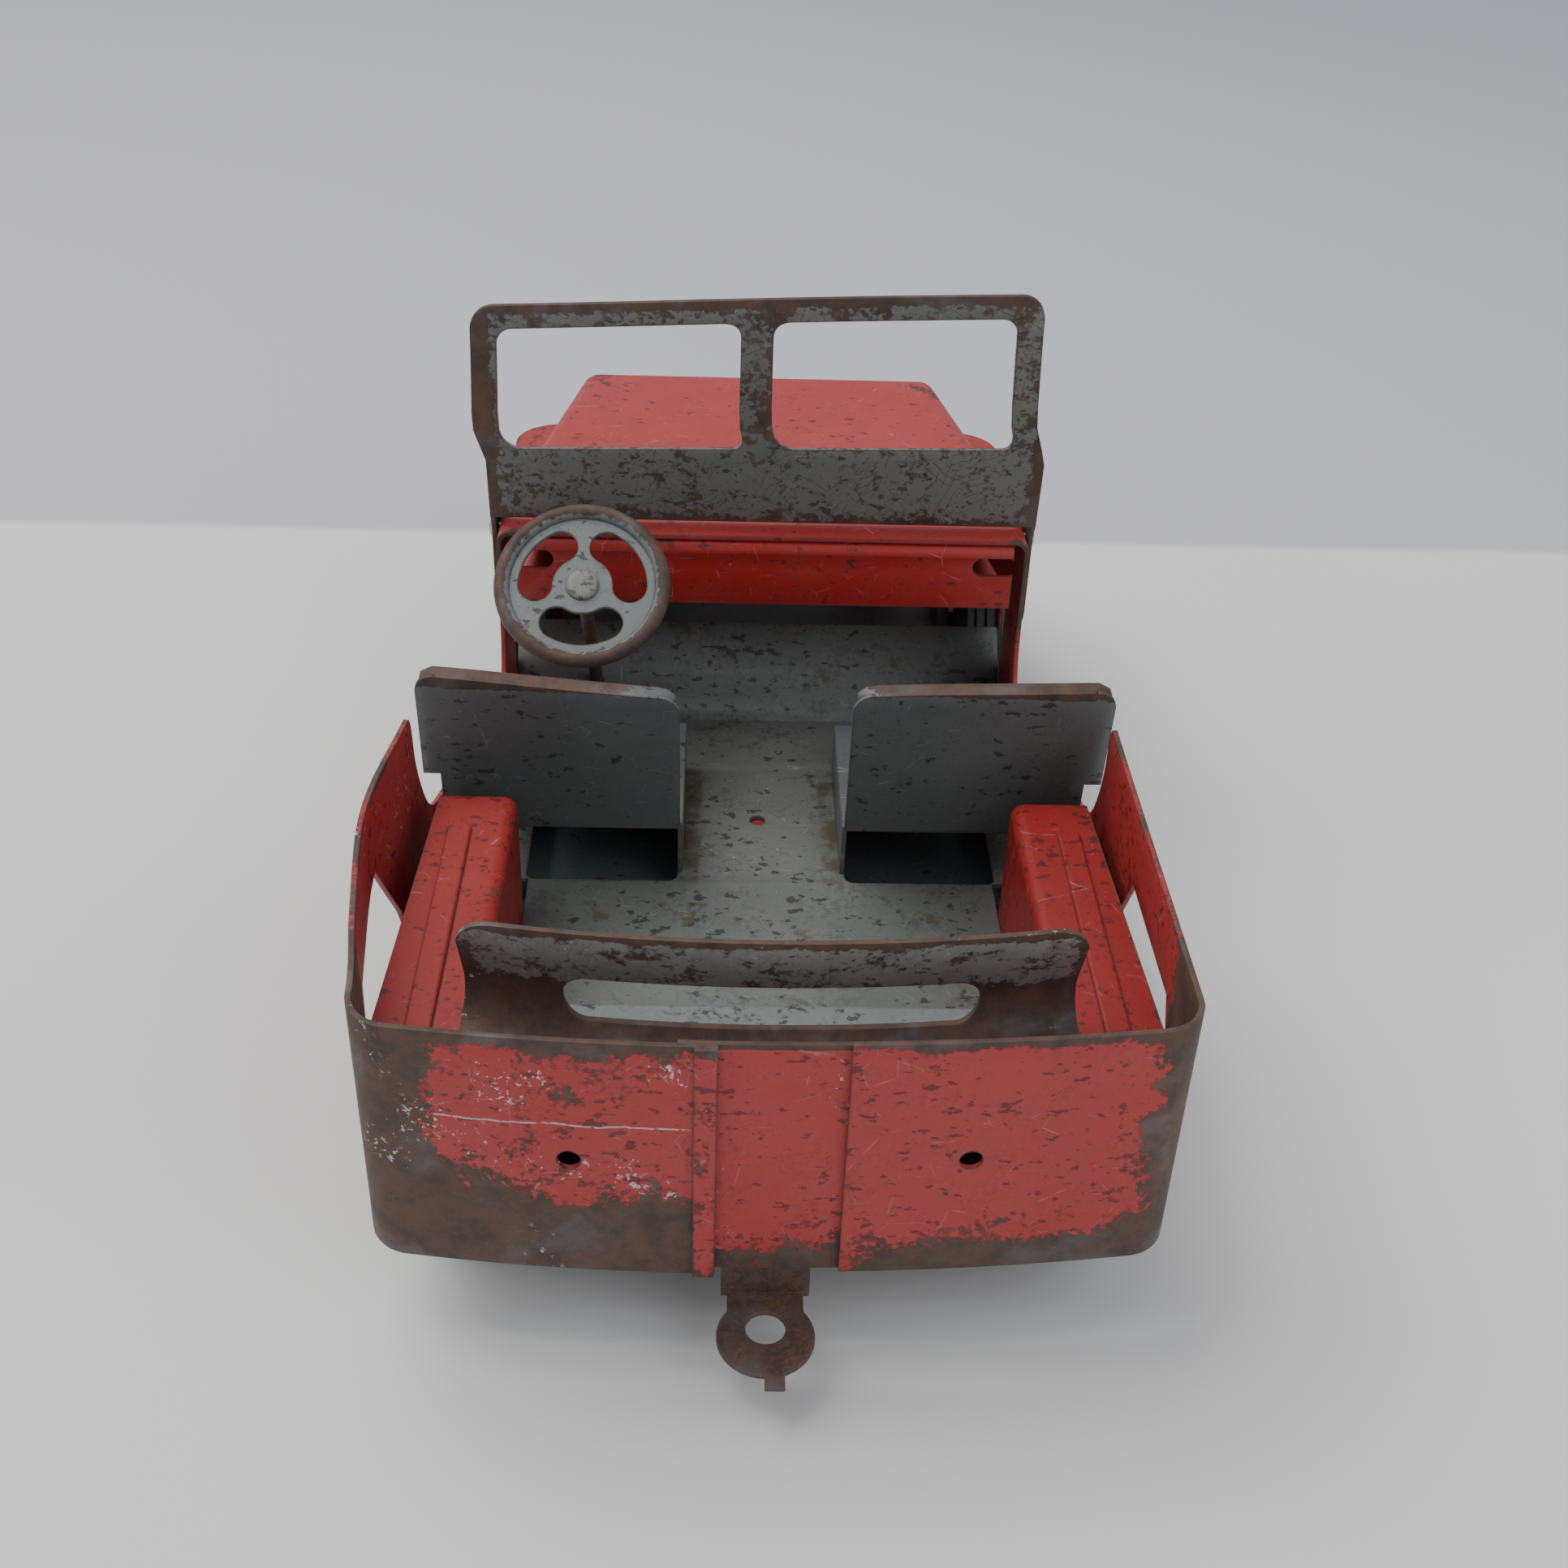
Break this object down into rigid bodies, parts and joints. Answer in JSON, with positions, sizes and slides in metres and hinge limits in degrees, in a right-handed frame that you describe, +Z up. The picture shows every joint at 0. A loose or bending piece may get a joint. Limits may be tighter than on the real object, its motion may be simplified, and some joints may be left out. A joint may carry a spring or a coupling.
{
  "type": "toy off-road utility car",
  "caption": "Pressed-steel toy off-road car with an open tub, folding windscreen, turning steering wheel, rolling wheels, stamped seats and a rear tow eye.",
  "frame": {"origin": "centre of the bounding box on the ground plane under the tyres", "axes": "+X the car's right, +Y the car's front, +Z up"},
  "size_m": [0.137, 0.2912, 0.131],
  "materials": {
    "red_paint": "worn satin enamel with bare edges",
    "grey_paint": "worn satin grey-green enamel",
    "rusty_steel": "matt rust-brown bare steel",
    "plated_steel": "dull plated steel",
    "rubber": "matt black rubber"
  },
  "bodies": {
    "car": {"body_side_left": "red_paint", "body_side_right": "red_paint", "rear_seam_strap": "red_paint", "hood": "red_paint", "dash_panel": "red_paint", "grille_panel": "red_paint", "fender_left": "red_paint", "fender_right": "red_paint", "front_bumper": "red_paint", "bumper_brackets": "red_paint", "wheel_well_left": "red_paint", "wheel_well_right": "red_paint", "chassis_rail": "red_paint", "floor_pan": "grey_paint", "front_seat_left": "grey_paint", "front_seat_right": "grey_paint", "rear_seat_back": "grey_paint", "rear_seat_pan": "grey_paint", "tow_hitch": "rusty_steel", "underseat_plate": "rusty_steel", "engine_tray": "rusty_steel", "axle_bracket_front": "rusty_steel", "axle_bracket_rear": "rusty_steel", "headlamp_left": "plated_steel", "headlamp_right": "plated_steel", "axle_front": "plated_steel", "axle_rear": "plated_steel", "axle_caps": "plated_steel"},
    "windshield": {"windshield_frame": "grey_paint", "windshield_rivets": "plated_steel"},
    "steering": {"steering_wheel": "grey_paint", "steering_column": "rusty_steel", "steering_rivet": "plated_steel"},
    "wheel_front_left": {"wheel_disc_front_left": "red_paint", "tyre_front_left": "rubber"},
    "wheel_front_right": {"wheel_disc_front_right": "red_paint", "tyre_front_right": "rubber"},
    "wheel_rear_left": {"wheel_disc_rear_left": "red_paint", "tyre_rear_left": "rubber"},
    "wheel_rear_right": {"wheel_disc_rear_right": "red_paint", "tyre_rear_right": "rubber"}
  },
  "joints": [
    {"name": "windshield_fold", "type": "hinge", "parent": "car", "child": "windshield", "pos_m": [0, 0.0384, 0.0752], "axis": [-1, 0, 0], "range_deg": [0, 96]},
    {"name": "steering_spin", "type": "hinge", "parent": "car", "child": "steering", "pos_m": [-0.0383, 0.006, 0.0778], "axis": [0, -0.6225, 0.7826], "continuous": true},
    {"name": "wheel_front_left_spin", "type": "hinge", "parent": "car", "child": "wheel_front_left", "pos_m": [0, 0.091, 0.024], "axis": [-1, 0, 0], "continuous": true},
    {"name": "wheel_front_right_spin", "type": "hinge", "parent": "car", "child": "wheel_front_right", "pos_m": [0, 0.091, 0.024], "axis": [-1, 0, 0], "continuous": true},
    {"name": "wheel_rear_left_spin", "type": "hinge", "parent": "car", "child": "wheel_rear_left", "pos_m": [0, -0.084, 0.024], "axis": [-1, 0, 0], "continuous": true},
    {"name": "wheel_rear_right_spin", "type": "hinge", "parent": "car", "child": "wheel_rear_right", "pos_m": [0, -0.084, 0.024], "axis": [-1, 0, 0], "continuous": true}
  ]
}
